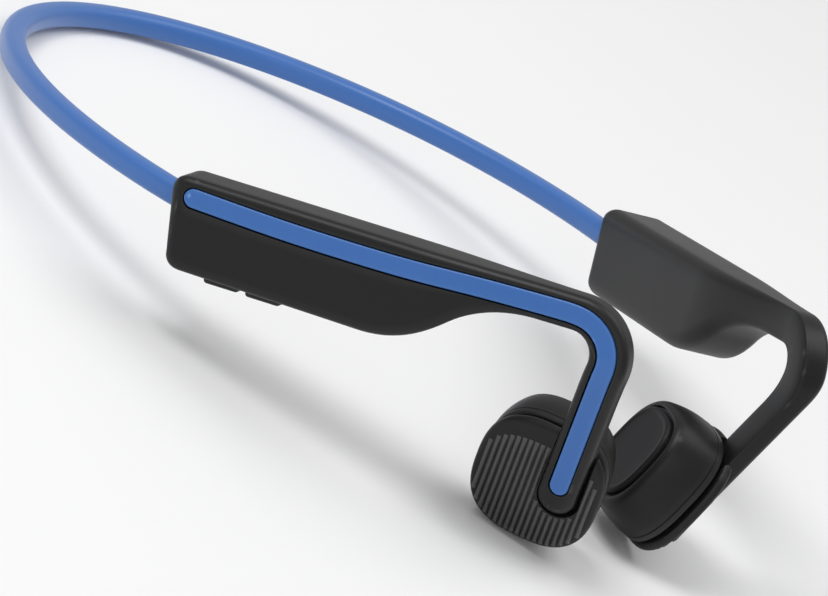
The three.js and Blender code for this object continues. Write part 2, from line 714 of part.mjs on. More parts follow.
// ---- Transducer parts ----
function transducerCap() {
  const plate = slab(superellipse(CAP_HALF.x, CAP_HALF.y), -CAP_THICKNESS, 0, 0.5);
  const relief = slab(superellipse(CAP_HALF.x - 1.4, CAP_HALF.y - 1.4), -CAP_THICKNESS - 1, -1.2);
  const back = -insetAt(tongueEnd.x, tongueEnd.y) - TONGUE_THICKNESS;
  const tip = new THREE.Vector3(tongueEnd.x, tongueEnd.y, back).applyMatrix4(TRANSDUCER.clone().invert());
  const beyond = CAP_HALF.y + 3;
  const slotLine = [beyond, (beyond + tip.y) / 2, tip.y].map((y) => new THREE.Vector2(tip.x, y));
  const slot = slab(ribbon(slotLine, TONGUE_HALF_WIDTH + CLEARANCE), -5, 2);
  return cut(plate, relief, slot);
}

// The transducer's body narrows towards the pad: each level is [z, how far it lies inside CUP_HALF].
function tapered(levels) {
  const outline = (inwards) => superellipse(CUP_HALF.x - inwards, CUP_HALF.y - inwards).getPoints();
  const lift = (z) => (point) => new THREE.Vector3(point.x, point.y, z);
  const stack = levels.map(([z, inwards]) => outline(inwards).map(lift(z)));
  return loft(stack, outline(levels[0][1]));
}

function transducerCup() {
  const wall = tapered([[CUP_BOTTOM, 1.7], ...CUP_CURVE, [CUP_TOP, 0]]);
  const inner = CUP_CURVE.slice(1).map(([z, inwards]) => [z, inwards + CUP_WALL]);
  const cavity = tapered([[CUP_BOTTOM + 0.9, 2.2], ...inner, [CUP_TOP - CUP_LID, CUP_WALL]]);
  const mouth = slab(superellipse(PAD_HALF.x + CLEARANCE, PAD_HALF.y + CLEARANCE), CUP_BOTTOM - 2, -8.9);
  return cut(wall, cavity, mouth);
}

const yoke = () => cut(disc(6.2, -6.9, -3.6), disc(5.4, -8, -4.2));
const magnet = () => disc(4.1, -6.3, -4.5, 16);
const topPlate = () => disc(4.1, -7.2, -6.6, 16);
const voiceCoil = () => ring(4.5, 5.1, -7.4, -5.3, 20);

function suspensionSpring() {
  const plate = slab(superellipse(CUP_HALF.x - 2.1, CUP_HALF.y - 2.1, 20), -8.0, -7.7);
  const slots = [0, 1, 2].map((i) => {
    const from = i * (2 * Math.PI / 3);
    const shape = new THREE.Shape();
    shape.absarc(0, 0, 5.6, from, from + 1.7, false);
    shape.absarc(0, 0, 5.1, from + 1.7, from, true);
    shape.closePath();
    return slab(shape, -9, -7, 0, 6);
  });
  return cut(plate, ...slots);
}

function vibrationPlate() {
  return slab(superellipse(PAD_HALF.x - 0.4, PAD_HALF.y - 0.4, 20), -9.0, -8.3);
}

function skinPad() {
  return slab(superellipse(PAD_HALF.x, PAD_HALF.y, 28), PAD_FACE, -9.3, 0.35);
}

function tactSwitch() {
  return join(boxAt(-5.4, -2.6, -1.4, 1.4, -2.2, -1.85), disc(0.7, -2.0, -1.65, 10, -4, 0));
}

// ---- Assembly ----
const object = new THREE.Group();
const posture = new THREE.Group();
posture.rotation.x = -REST_TILT;
object.add(posture);

function addMesh(parent, name, geometry, material) {
  const mesh = new THREE.Mesh(geometry, material);
  mesh.name = name;
  parent.add(mesh);
  return mesh;
}

function addNeckband() {
  const flex = angleAtY(FLEX_Y);
  const sleeveGap = FLEX_GAP / 2 / BAND_DEPTH;
  const coreGap = CORE_GAP / 2 / BAND_DEPTH;
  const start = angleAtY(BAND_START_Y);
  const coreStart = angleAtY(BAND_START_Y - 3.4);
  const runs = [
    ["sleeve", sleeveSection(), start, sleeveGap, BLUE_SILICONE],
    ["titanium_wire", coreSection(WIRE_RADIUS, WIRE_OFFSET), coreStart, coreGap, TITANIUM],
    ["signal_cable", coreSection(CABLE_RADIUS, CABLE_OFFSET), coreStart, coreGap, CABLE_GREY],
  ];
  for (const [name, section, from, gap, material] of runs) {
    const label = name === "sleeve" ? "neckband_sleeve" : name;
    addMesh(posture, `${label}_rear`, bandRun(section, flex + gap, Math.PI - flex - gap, 36), material);
    addMesh(posture, `${label}_right`, bandRun(section, from, flex - gap, 5), material);
    addMesh(posture, `${label}_left`, bandRun(section, Math.PI - flex + gap, Math.PI - from, 5), material);
  }
}

// A left part is the right one mirrored through its frame's outer face.
const MIRROR = new THREE.Matrix4().makeScale(1, 1, -1);
const ACROSS = new THREE.Matrix4().makeScale(-1, 1, 1);

function frameGroup(parent, matrix) {
  const group = new THREE.Group();
  matrix.decompose(group.position, group.quaternion, group.scale);
  parent.add(group);
  return group;
}

function addUnit(side) {
  const left = side === "left";
  const unitFrame = left ? ACROSS.clone().multiply(UNIT).multiply(MIRROR) : UNIT;
  const headFrame = left ? MIRROR.clone().multiply(TRANSDUCER).multiply(MIRROR) : TRANSDUCER;
  const unit = frameGroup(posture, unitFrame);
  const head = frameGroup(unit, headFrame);
  const handed = (geometry) => (left ? flipped(geometry.applyMatrix4(MIRROR)) : geometry);
  const add = (parent, name, geometry, material) => addMesh(parent, name, handed(geometry), material);

  add(unit, `${side}_outer_shell`, outerShell(side), SOFT_BLACK);
  add(unit, `${side}_inner_shell`, innerShell(), SOFT_BLACK);
  add(unit, `${side}_ear_hook`, earHook(), SOFT_BLACK);
  add(unit, `${side}_accent_strip`, accentStrip(), BLUE_STRIP);
  add(unit, `${side}_hook_wire`, tube(hookPath(0.65, 38, -20), WIRE_RADIUS, 20, 3), TITANIUM);
  add(unit, `${side}_transducer_lead`, tube(hookPath(-1.0, 38, -20), CABLE_RADIUS, 20, 3), CABLE_GREY);
  add(unit, `${side}_wire_ferrule`, wireFerrule(), STEEL);
  add(unit, `${side}_microphone`, boxAt(MIC_U - 1.2, MIC_U + 1.2, -9.8, -8.8, -5.4, -3.4), CHIP_BLACK);

  const cap = left ? "multifunction_button" : "right_transducer_cap";
  add(head, cap, transducerCap(), RIB_BLACK);
  add(head, `${side}_transducer_cup`, transducerCup(), SOFT_BLACK);
  add(head, `${side}_yoke`, yoke(), STEEL);
  add(head, `${side}_magnet`, magnet(), STEEL);
  add(head, `${side}_pole_plate`, topPlate(), STEEL);
  add(head, `${side}_voice_coil`, voiceCoil(), COPPER);
  add(head, `${side}_suspension_spring`, suspensionSpring(), STEEL);
  add(head, `${side}_vibration_plate`, vibrationPlate(), STEEL);
  add(head, `${side}_skin_pad`, skinPad(), PAD_BLACK);

  if (left) {
    add(unit, "battery_cell", roundedCell(), CELL_SILVER);
    add(unit, "battery_protection_board", boxAt(34.0, 37.2, -7.0, -1.7, -5.4, -4.7), BOARD_GREEN);
    add(head, "multifunction_switch", tactSwitch(), STEEL);
  } else {
    for (const [name, u] of Object.entries(BUTTON_CENTRES)) {
      add(unit, name, pushButton(u), SOFT_BLACK);
    }
    add(unit, "button_switches", buttonSwitches(), STEEL);
    add(unit, "usb_c_receptacle", portReceptacle(), STEEL);
    add(unit, "charging_port_cover", portCover(), SOFT_BLACK);
    add(unit, "status_light_pipe", lightPipe(), LENS_WHITE);
    add(unit, "main_circuit_board", circuitBoard(), BOARD_GREEN);
    add(unit, "audio_processor", boxAt(9.6, 14.6, -6.9, -2.6, -4.5, -3.4), CHIP_BLACK);
  }
}

addNeckband();
addUnit("right");
addUnit("left");

// The object stands on its lowest points, with its origin under the middle of its box.
object.updateMatrixWorld(true);
const bounds = new THREE.Box3().setFromObject(object, true);
const middle = bounds.getCenter(new THREE.Vector3());
object.position.set(-middle.x, -middle.y, -bounds.min.z);
object.updateMatrixWorld(true);

export default object;
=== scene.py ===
"""Bone conduction headphones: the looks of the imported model, drawn in its own frame."""

import json
import math

import bmesh
import bpy
import numpy as np
from mathutils import Matrix, Vector


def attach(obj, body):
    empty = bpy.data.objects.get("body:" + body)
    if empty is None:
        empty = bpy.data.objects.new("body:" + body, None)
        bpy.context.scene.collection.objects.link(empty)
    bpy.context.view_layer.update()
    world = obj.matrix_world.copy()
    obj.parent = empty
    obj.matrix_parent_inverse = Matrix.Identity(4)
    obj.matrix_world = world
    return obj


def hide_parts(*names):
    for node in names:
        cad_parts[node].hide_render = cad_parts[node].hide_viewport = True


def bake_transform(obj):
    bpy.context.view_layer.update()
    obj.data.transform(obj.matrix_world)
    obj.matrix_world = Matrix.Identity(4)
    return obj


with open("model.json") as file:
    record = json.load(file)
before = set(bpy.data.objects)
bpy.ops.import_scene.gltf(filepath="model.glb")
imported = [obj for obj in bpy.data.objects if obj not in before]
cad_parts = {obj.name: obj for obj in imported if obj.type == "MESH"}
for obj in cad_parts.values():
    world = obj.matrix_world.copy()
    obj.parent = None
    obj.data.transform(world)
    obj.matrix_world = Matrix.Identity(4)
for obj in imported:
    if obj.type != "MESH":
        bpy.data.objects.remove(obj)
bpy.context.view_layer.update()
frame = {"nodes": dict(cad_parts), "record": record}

MM = 0.001
RAD = math.pi / 180

# ---- Driving dimensions, in millimetres, as in the CAD part ----
CLEARANCE = 0.3
UNIT_OUTER_X = 50.8
UNIT_TOE_IN = 25.3 * RAD
UNIT_LEAN = 2.8 * RAD
UNIT_NOSE_DOWN = 1.2 * RAD
REST_TILT = 21.94 * RAD
ROW_SHIFT = (0.0, -4.5159, 19.4315)

BAND_HALF_WIDTH = 44.9
BAND_DEPTH = 54.5
BAND_CENTRE_Y = 13.5
BAND_RISE = 10.4 * RAD
BAND_PIVOT_Z = -4.4
BAND_WIDTH = 3.5
BAND_HEIGHT = 3.3
BAND_START_Y = -1.0
BAND_ROUNDNESS = 0.72

POD_HEIGHT = 12.8
POD_THICKNESS = 9.2
POD_CORNER = 2.3
REAR_SLOPE = 1.5
BOTTOM_RISE = 0.4
BELLY_U = 29.1
OUTER_ROUND = 1.2
INNER_ROUND = 2.2
ARM_HEIGHT = 4.7
BEND_CENTRE = (56.6, -7.85)
BEND_RADIUS = 7.85
INNER_BEND_CENTRE = (56.1, -7.75)
INNER_BEND_RADIUS = 3.05
TONGUE_SLOPE = 11.5 * RAD
TONGUE_HALF_WIDTH = 2.6
TONGUE_LENGTH = 19.6
HOOK_START = 34.0
HOOK_END = 57.0
HOOK_INSET = 1.6
HOOK_THICKNESS = 4.3
TONGUE_THICKNESS = 3.4
TONGUE_LEAN = 25.0 * RAD
TONGUE_TOP = -7.0
TONGUE_EASE = 4.0
TONGUE_TURN_U = 46.0
TONGUE_TURN_RUN = 6.0
SKIN_DEPTH = 2.5
STRIP_HALF_WIDTH = 1.3
STRIP_DEPTH = 0.9
STRIP_END_GAP = 1.6
GROOVE_GAP = 0.16
GROOVE_DEPTH = 1.2

BUTTON_CENTRES = {"volume_up": 14.9, "volume_down": 9.0}
BUTTON_LENGTH = 5.0
BUTTON_WIDTH = 2.6
BUTTON_PROUD = 1.0
CONTROLS_Z = -4.4
PORT_CENTRE_U = 26.5
PORT_LENGTH = 8.6
PORT_WIDTH = 3.2
COVER_THICKNESS = 0.9
OPENING_GAP = 0.22
LED_U = 19.8
MIC_U = 32.4

CAP_CENTRE = (54.4, -27.9)
CAP_LEAN = 24.0 * RAD
CAP_HALF = (8.8, 9.4)
CUP_HALF = (8.6, 9.2)
PAD_HALF = (5.9, 6.6)
SQUARENESS = 2.7
CAP_THICKNESS = 1.9
TONGUE_SINK = 1.9
CUP_TOP = -2.5
CUP_BOTTOM = -10.0
PAD_FACE = -10.6
RIB_PITCH = 0.84
RIB_HEIGHT = 0.3


# ---- Small geometry ----
def ease(t):
    t = np.clip(t, 0.0, 1.0)
    return t * t * (3 - 2 * t)


def lerp(a, b, t):
    return a + (b - a) * t


def arc(centre, radius, start, end, steps=48):
    angles = np.linspace(start, end, steps)
    return np.array(centre) + radius * np.stack([np.cos(angles), np.sin(angles)], axis=1)


def bezier(points, steps=40):
    t = np.linspace(0, 1, steps)[:, None]
    p = [np.array(point, float) for point in points]
    if len(p) == 3:
        return (1 - t) ** 2 * p[0] + 2 * t * (1 - t) * p[1] + t**2 * p[2]
    return (1 - t) ** 3 * p[0] + 3 * t * (1 - t) ** 2 * p[1] + 3 * t**2 * (1 - t) * p[2] + t**3 * p[3]


def superellipse(half, inset=0.0, sides=96):
    angles = np.linspace(0, 2 * math.pi, sides, endpoint=False)
    c, s = np.cos(angles), np.sin(angles)
    x = (half[0] - inset) * np.sign(c) * np.abs(c) ** (2 / SQUARENESS)
    y = (half[1] - inset) * np.sign(s) * np.abs(s) ** (2 / SQUARENESS)
    return np.stack([x, y], axis=1)


# ---- The unit from the side: u forwards, v up ----
TONGUE_DOWN = np.array([-math.sin(TONGUE_SLOPE), -math.cos(TONGUE_SLOPE)])
TONGUE_ACROSS = np.array([math.cos(TONGUE_SLOPE), -math.sin(TONGUE_SLOPE)])
TONGUE_START = np.array(INNER_BEND_CENTRE) + TONGUE_ACROSS * (INNER_BEND_RADIUS + TONGUE_HALF_WIDTH)
TONGUE_END = TONGUE_START + TONGUE_DOWN * TONGUE_LENGTH


def pod_bottom(u):
    return BOTTOM_RISE * max(BELLY_U - u, 0) / (BELLY_U - REAR_SLOPE - POD_CORNER) - POD_HEIGHT


def unit_outline():
    low = BOTTOM_RISE - POD_HEIGHT
    parts = [
        np.linspace([POD_CORNER, 0.0], [BEND_CENTRE[0], 0.0], 60),
        arc(BEND_CENTRE, BEND_RADIUS, math.pi / 2, -TONGUE_SLOPE),
        arc(TONGUE_END, TONGUE_HALF_WIDTH, -TONGUE_SLOPE, -TONGUE_SLOPE - math.pi),
        arc(INNER_BEND_CENTRE, INNER_BEND_RADIUS, -TONGUE_SLOPE, math.pi / 2),
        bezier([(51, -ARM_HEIGHT), (46.9, -ARM_HEIGHT), (43, -5.95), (40.1, -8.45)]),
        bezier([(40.1, -8.45), (37.1, -11), (33.9, -POD_HEIGHT), (BELLY_U, -POD_HEIGHT)]),
        bezier([(REAR_SLOPE + POD_CORNER, low), (REAR_SLOPE, low), (REAR_SLOPE - 0.2, low + POD_CORNER)], 24),
        bezier([(0.2, -POD_CORNER), (0, 0), (POD_CORNER, 0)], 24),
    ]
    return np.concatenate(parts)


OUTLINE = unit_outline()
SEGMENTS = (OUTLINE, np.roll(OUTLINE, -1, axis=0))


def depth_inside(points):
    """How far each point lies from the unit's outline."""
    start, end = SEGMENTS
    run = end - start
    length = np.maximum((run**2).sum(axis=1), 1e-12)
    offset = points[:, None, :] - start[None]
    t = np.clip((offset * run[None]).sum(axis=2) / length[None], 0, 1)
    return np.sqrt(((offset - t[..., None] * run[None]) ** 2).sum(axis=2)).min(axis=1)


def reach(point, direction):
    """How far the outline lies from a point inside it, along a direction."""
    start, end = SEGMENTS
    run = end - start
    cross = direction[0] * run[:, 1] - direction[1] * run[:, 0]
    cross = np.where(np.abs(cross) < 1e-12, 1e-12, cross)
    offset = start - point
    t = (offset[:, 0] * run[:, 1] - offset[:, 1] * run[:, 0]) / cross
    along = (offset[:, 0] * direction[1] - offset[:, 1] * direction[0]) / cross
    return t[(t > 1e-6) & (along >= 0) & (along <= 1)].min()


def catmull_rom(knots, steps):
    knots = np.array(knots, float)
    points = []
    for t in np.linspace(0, len(knots) - 1, steps):
        i = min(int(t), len(knots) - 2)
        f = t - i
        p = [knots[min(max(i + k, 0), len(knots) - 1)] for k in (-1, 0, 1, 2)]
        speed0, speed1 = (p[2] - p[0]) / 2, (p[3] - p[1]) / 2
        points.append(
            (2 * p[1] - 2 * p[2] + speed0 + speed1) * f**3
            + (-3 * p[1] + 3 * p[2] - 2 * speed0 - speed1) * f**2
            + speed0 * f
            + p[1]
        )
    return np.array(points)


def strip_line():
    """The middle line of the accent strip: along the housing, round the bend, down the tongue."""
    rear = catmull_rom([(3.5, -2.55), (17, -3.05), (31, -3.05), (43.5, -2.6), (55.7, -2.4)], 90)
    radius = np.linalg.norm(TONGUE_START - np.array(INNER_BEND_CENTRE))
    angles = np.linspace(math.pi / 2, -TONGUE_SLOPE, 44)[2:]
    bend = np.stack([radius * np.cos(angles), (radius - 0.36) * np.sin(angles)], axis=1)
    bend += np.array(INNER_BEND_CENTRE)
    run = np.linspace(0, TONGUE_LENGTH - STRIP_END_GAP, 40)[1:, None]
    return np.concatenate([rear, bend, bend[-1] + run * TONGUE_DOWN])


def smoothed(values, passes=6):
    for _ in range(passes):
        values[1:-1] = (values[:-2] + 2 * values[1:-1] + values[2:]) / 4
    return values


STRIP = smoothed(strip_line())


def line_directions(line):
    along = np.gradient(line, axis=0)
    along /= np.linalg.norm(along, axis=1)[:, None]
    return along


def end_distances(length, steps):
    """Steps that crowd together towards a round end."""
    return length * np.sin(np.linspace(0, math.pi / 2, steps))


def strip_sections(half):
    """(centre, across, half width) down a band of that half width with round ends."""
    along = line_directions(STRIP)
    sections = []
    for d in end_distances(half, 14)[::-1]:
        width = math.sqrt(max(half**2 - d**2, 0))
        sections.append((STRIP[0] - along[0] * d, along[0], width))
    for point, direction in zip(STRIP[1:-1], along[1:-1]):
        sections.append((point, direction, half))
    for d in end_distances(half, 14):
        width = math.sqrt(max(half**2 - d**2, 0))
        sections.append((STRIP[-1] + along[-1] * d, along[-1], width))
    return [(c, np.array([-a[1], a[0]]), w) for c, a, w in sections]


# ---- Bending the flat unit into its real shape ----
def inset_at(u, v):
    drop = np.maximum(TONGUE_TOP - v, 0)
    eased = np.where(drop < TONGUE_EASE, drop**2 / (2 * TONGUE_EASE), drop - TONGUE_EASE / 2)
    along = ease((u - HOOK_START) / (HOOK_END - HOOK_START))
    return HOOK_INSET * along + math.tan(TONGUE_LEAN) * eased * ease((u - TONGUE_TURN_U) / TONGUE_TURN_RUN)


def thickness_at(u, v):
    along = ease((u - HOOK_START) / (HOOK_END - HOOK_START))
    down = ease((TONGUE_TOP - v) / 6) * ease((u - TONGUE_TURN_U) / TONGUE_TURN_RUN)
    return lerp(lerp(POD_THICKNESS, HOOK_THICKNESS, along), TONGUE_THICKNESS, down)


def bent(points):
    u, v, z = points[:, 0], points[:, 1], points[:, 2]
    squeeze = (thickness_at(u, v) - SKIN_DEPTH) / (POD_THICKNESS - SKIN_DEPTH)
    depth = np.where(z > -SKIN_DEPTH, z, -SKIN_DEPTH + (z + SKIN_DEPTH) * squeeze)
    return np.stack([u, v, depth - inset_at(u, v)], axis=1)


# ---- Frames ----
def basis(x, y, z, origin=(0, 0, 0)):
    m = Matrix.Identity(4)
    for column, vector in enumerate((x, y, z, origin)):
        for row in range(3):
            m[row][column] = vector[row]
    return m


def unit_matrix():
    forward = Vector((math.sin(UNIT_TOE_IN), -math.cos(UNIT_TOE_IN), 0))
    level = math.cos(UNIT_LEAN)
    outward = Vector((-math.cos(UNIT_TOE_IN) * level, -math.sin(UNIT_TOE_IN) * level, -math.sin(UNIT_LEAN)))
    up = outward.cross(forward)
    nose = Matrix.Rotation(-UNIT_NOSE_DOWN, 4, "Z")
    return Matrix.Translation((-UNIT_OUTER_X, 0, 0)) @ basis(forward, up, outward) @ nose


def head_matrix():
    outward = Vector((0, -math.sin(CAP_LEAN), math.cos(CAP_LEAN)))
    climb = -math.tan(TONGUE_LEAN) * TONGUE_DOWN[1]
    up = Vector((-TONGUE_DOWN[0], -TONGUE_DOWN[1], climb))
    up = (up - outward * up.dot(outward)).normalized()
    across = up.cross(outward)
    tip_v = TONGUE_END[1] - TONGUE_HALF_WIDTH
    tip_depth = float(inset_at(TONGUE_END[0], tip_v)) + TONGUE_THICKNESS - TONGUE_SINK
    depth = tip_depth - (CAP_CENTRE[1] - tip_v) * math.tan(CAP_LEAN)
    return basis(across, up, outward, (*CAP_CENTRE, -depth))


POSTURE = Matrix.Translation(ROW_SHIFT) @ Matrix.Rotation(-REST_TILT, 4, "X")
BAND = POSTURE @ Matrix.Translation((0, 0, BAND_PIVOT_Z)) @ Matrix.Rotation(BAND_RISE, 4, "X")
ACROSS = Matrix.Diagonal((-1, 1, 1, 1))
UNIT = unit_matrix()
HEAD = head_matrix()


def unit_frame(side):
    return POSTURE @ (ACROSS @ UNIT if side == "left" else UNIT)


def head_frame(side):
    return unit_frame(side) @ HEAD


# ---- Meshes ----
def make(name, points, faces, matrix, material, sharp=40):
    """A mesh object at the origin from points in millimetres in that frame, with its faces outwards."""
    flat = np.concatenate([points, np.ones((len(points), 1))], axis=1) @ np.array(matrix).T
    mesh = bpy.data.meshes.new(name)
    mesh.from_pydata((flat[:, :3] * MM).tolist(), [], faces)
    bm = bmesh.new()
    bm.from_mesh(mesh)
    bmesh.ops.remove_doubles(bm, verts=bm.verts, dist=2e-6)
    bmesh.ops.dissolve_degenerate(bm, edges=bm.edges, dist=1e-7)
    bmesh.ops.recalc_face_normals(bm, faces=bm.faces)
    if bm.calc_volume(signed=True) < 0:
        bmesh.ops.reverse_faces(bm, faces=bm.faces)
    bm.to_mesh(mesh)
    bm.free()
    obj = bpy.data.objects.new(name, mesh)
    bpy.context.collection.objects.link(obj)
    mesh.materials.append(material)
    smooth(obj, sharp)
    return obj


def smooth(obj, sharp=40):
    for polygon in obj.data.polygons:
        polygon.use_smooth = True
    obj.data.set_sharp_from_angle(angle=sharp * RAD)


def settle(obj):
    """Makes an object's modifiers part of its mesh."""
    bpy.context.view_layer.update()
    evaluated = obj.evaluated_get(bpy.context.evaluated_depsgraph_get())
    mesh = bpy.data.meshes.new_from_object(evaluated)
    obj.modifiers.clear()
    obj.data = mesh


def cut(obj, *cutters):
    for cutter in cutters:
        modifier = obj.modifiers.new("cut", "BOOLEAN")
        modifier.operation = "DIFFERENCE"
        modifier.solver = "EXACT"
        modifier.object = cutter
        settle(obj)
        bpy.data.objects.remove(cutter)
    smooth(obj)


def grid_faces(rows, columns, start=0, closed=False):
    faces = []
    for i in range(rows - 1):
        for j in range(columns if closed else columns - 1):
            a, b = start + i * columns + j, start + i * columns + (j + 1) % columns
            faces.append((a, b, b + columns, a + columns))
    return faces


def loft(name, rings, matrix, material, sharp=40):
    """Closed rings joined one after another, and both ends filled."""
    count = len(rings[0])
    faces = grid_faces(len(rings), count, closed=True)
    last = (len(rings) - 1) * count
    faces.append(tuple(range(count)))
    faces.append(tuple(range(last, last + count)))
    return make(name, np.concatenate(rings), faces, matrix, material, sharp)


def ring_at(outline, z):
    return np.concatenate([outline, np.full((len(outline), 1), z)], axis=1)


def rounded_block(name, low, high, radius, matrix, material, segments=5):
    low, high = np.array(low, float), np.array(high, float)
    corners = np.array([[x, y, z] for x in (0, 1) for y in (0, 1) for z in (0, 1)]) * (high - low) + low
    faces = [(0, 1, 3, 2), (4, 6, 7, 5), (0, 4, 5, 1), (2, 3, 7, 6), (0, 2, 6, 4), (1, 5, 7, 3)]
    obj = make(name, corners, faces, matrix, material)
    if radius:
        bevel = obj.modifiers.new("edges", "BEVEL")
        bevel.width = radius * MM
        bevel.segments = segments
        settle(obj)
        smooth(obj, 60)
    return obj


# ---- Materials ----
def shader_group(name, inputs, build):
    """A node group with named inputs that gives a colour, a roughness and a normal."""
    group = bpy.data.node_groups.new(name, "ShaderNodeTree")
    for label, kind, value in inputs:
        socket = group.interface.new_socket(label, in_out="INPUT", socket_type=f"NodeSocket{kind}")
        socket.default_value = value
    for label, kind in (("Color", "Color"), ("Roughness", "Float"), ("Normal", "Vector")):
        group.interface.new_socket(label, in_out="OUTPUT", socket_type=f"NodeSocket{kind}")
    nodes, links = group.nodes, group.links
    source, result = nodes.new("NodeGroupInput"), nodes.new("NodeGroupOutput")
    build(nodes, links, source, result)
    return group


def node(nodes, kind, **settings):
    made = nodes.new(kind)
    for key, value in settings.items():
        setattr(made, key, value)
    return made


def math_node(nodes, links, operation, a, b):
    made = node(nodes, "ShaderNodeMath", operation=operation)
    for socket, value in zip(made.inputs, (a, b)):
        if isinstance(value, (int, float)):
            socket.default_value = value
        else:
            links.new(value, socket)
    return made.outputs[0]


def moulded_build(nodes, links, source, result):
    """Fine grain all over, soft cloudy variation, and edges painted paler: part wear, part painted highlight.
    """
    coordinates = node(nodes, "ShaderNodeTexCoord")
    grain = node(nodes, "ShaderNodeTexNoise")
    grain.inputs["Detail"].default_value = 3
    links.new(coordinates.outputs["Object"], grain.inputs["Vector"])
    links.new(source.outputs["Grain Scale"], grain.inputs["Scale"])
    cloud = node(nodes, "ShaderNodeTexNoise")
    cloud.inputs["Scale"].default_value = 60
    cloud.inputs["Detail"].default_value = 4
    links.new(coordinates.outputs["Object"], cloud.inputs["Vector"])
    geometry = node(nodes, "ShaderNodeNewGeometry")
    # Sharp edges are painted paler: part wear, part painted highlight where the edges catch the light.
    edge = node(nodes, "ShaderNodeMapRange")
    edge.inputs["From Min"].default_value = 0.5
    edge.inputs["From Max"].default_value = 0.62
    links.new(geometry.outputs["Pointiness"], edge.inputs["Value"])
    rubbed_and_highlit = math_node(nodes, links, "MULTIPLY", edge.outputs["Result"], source.outputs["Edge Rubbing And Highlight"])
    shade = node(nodes, "ShaderNodeMix", data_type="RGBA")
    links.new(rubbed_and_highlit, shade.inputs["Factor"])
    links.new(source.outputs["Base"], shade.inputs["A"])
    links.new(source.outputs["Rubbed And Highlit Colour"], shade.inputs["B"])
    links.new(shade.outputs["Result"], result.inputs["Color"])
    centred = math_node(nodes, links, "SUBTRACT", cloud.outputs["Fac"], 0.5)
    varied = math_node(nodes, links, "MULTIPLY", centred, source.outputs["Variation"])
    links.new(math_node(nodes, links, "ADD", source.outputs["Roughness"], varied), result.inputs["Roughness"])
    bump = node(nodes, "ShaderNodeBump")
    bump.inputs["Distance"].default_value = 0.00005
    links.new(source.outputs["Grain"], bump.inputs["Strength"])
    links.new(grain.outputs["Fac"], bump.inputs["Height"])
    links.new(bump.outputs["Normal"], result.inputs["Normal"])


MOULDED = shader_group(
    "moulded surface",
    [
        ("Base", "Color", (0.02, 0.02, 0.02, 1)),
        ("Rubbed And Highlit Colour", "Color", (0.05, 0.05, 0.05, 1)),
        ("Edge Rubbing And Highlight", "Float", 0.3),
        ("Roughness", "Float", 0.5),
        ("Variation", "Float", 0.1),
        ("Grain", "Float", 0.2),
        ("Grain Scale", "Float", 5000.0),
    ],
    moulded_build,
)


# The paler edge colour and its strength are part wear, part painted highlight on the edges.
def material(name, base, roughness, rubbed_and_highlit=None, rubbing_and_highlight=0.3, variation=0.1, grain=0.2, scale=5000.0, **shader):
    made = bpy.data.materials.new(name)
    made.use_nodes = True
    nodes, links = made.node_tree.nodes, made.node_tree.links
    bsdf = nodes["Principled BSDF"]
    surface = node(nodes, "ShaderNodeGroup", node_tree=MOULDED)
    surface.inputs["Base"].default_value = (*base, 1)
    surface.inputs["Rubbed And Highlit Colour"].default_value = (*(rubbed_and_highlit or [min(1, c * 1.6) for c in base]), 1)
    surface.inputs["Edge Rubbing And Highlight"].default_value = rubbing_and_highlight
    surface.inputs["Roughness"].default_value = roughness
    surface.inputs["Variation"].default_value = variation
    surface.inputs["Grain"].default_value = grain
    surface.inputs["Grain Scale"].default_value = scale
    links.new(surface.outputs["Color"], bsdf.inputs["Base Color"])
    links.new(surface.outputs["Roughness"], bsdf.inputs["Roughness"])
    links.new(surface.outputs["Normal"], bsdf.inputs["Normal"])
    for key, value in shader.items():
        bsdf.inputs[key.replace("_", " ")].default_value = value
    made.diffuse_color = (*base, 1)
    return made


# The second colours are paler edge colours: part wear, part painted highlight.
BLACK = material("soft black", (0.009, 0.009, 0.009), 0.4, (0.06, 0.058, 0.055), 0.6, 0.12, 0.25,
                 Specular_IOR_Level=0.28)
RIBBED = material("ribbed black", (0.009, 0.009, 0.009), 0.46, (0.04, 0.039, 0.037), 0.5, 0.1, 0.2,
                  Specular_IOR_Level=0.28)
# The ribs are the same black as the cap; their lighter grey is a painted highlight on the rib crests.
RIB_HIGHLIGHT = material("rib crests painted highlight", (0.055, 0.055, 0.054), 0.42, (0.12, 0.118, 0.115), 0.6, 0.1, 0.2)
PAD = material("pad black", (0.006, 0.006, 0.007), 0.5, (0.03, 0.03, 0.032), 0.4, 0.1, 0.15,
               Specular_IOR_Level=0.25)
SILICONE = material("blue silicone", (0.042, 0.155, 0.47), 0.38, (0.09, 0.2, 0.55), 0.2, 0.1, 0.12,
                    Sheen_Weight=0.15, Sheen_Roughness=0.5)
# The strip's pale edge colour is a painted highlight along its rounded edges.
STRIP_BLUE = material("blue strip", (0.034, 0.145, 0.46), 0.34, (0.2, 0.38, 0.75), 0.6, 0.08, 0.1)
STEEL = material("plated steel", (0.6, 0.6, 0.61), 0.3, Metallic=1.0)
TITANIUM = material("titanium", (0.5, 0.49, 0.46), 0.38, Metallic=1.0)
COPPER = material("copper", (0.72, 0.37, 0.2), 0.35, Metallic=1.0)
GREY = material("cable grey", (0.09, 0.09, 0.1), 0.5)
BOARD = material("board green", (0.02, 0.11, 0.05), 0.4)
CHIP = material("chip black", (0.015, 0.015, 0.017), 0.45)
CELL = material("cell foil", (0.6, 0.61, 0.63), 0.32, Metallic=0.9)
LENS = material("lens white", (0.75, 0.78, 0.8), 0.2, rubbing_and_highlight=0.0)

BY_SLOT = {
    "blue_silicone": SILICONE,
    "blue_strip": STRIP_BLUE,
    "soft_black": BLACK,
    "ribbed_black": RIBBED,
    "pad_black": PAD,
    "titanium": TITANIUM,
    "steel": STEEL,
    "copper": COPPER,
    "cable_grey": GREY,
    "board_green": BOARD,
    "chip_black": CHIP,
    "cell_silver": CELL,
    "lens_white": LENS,
}


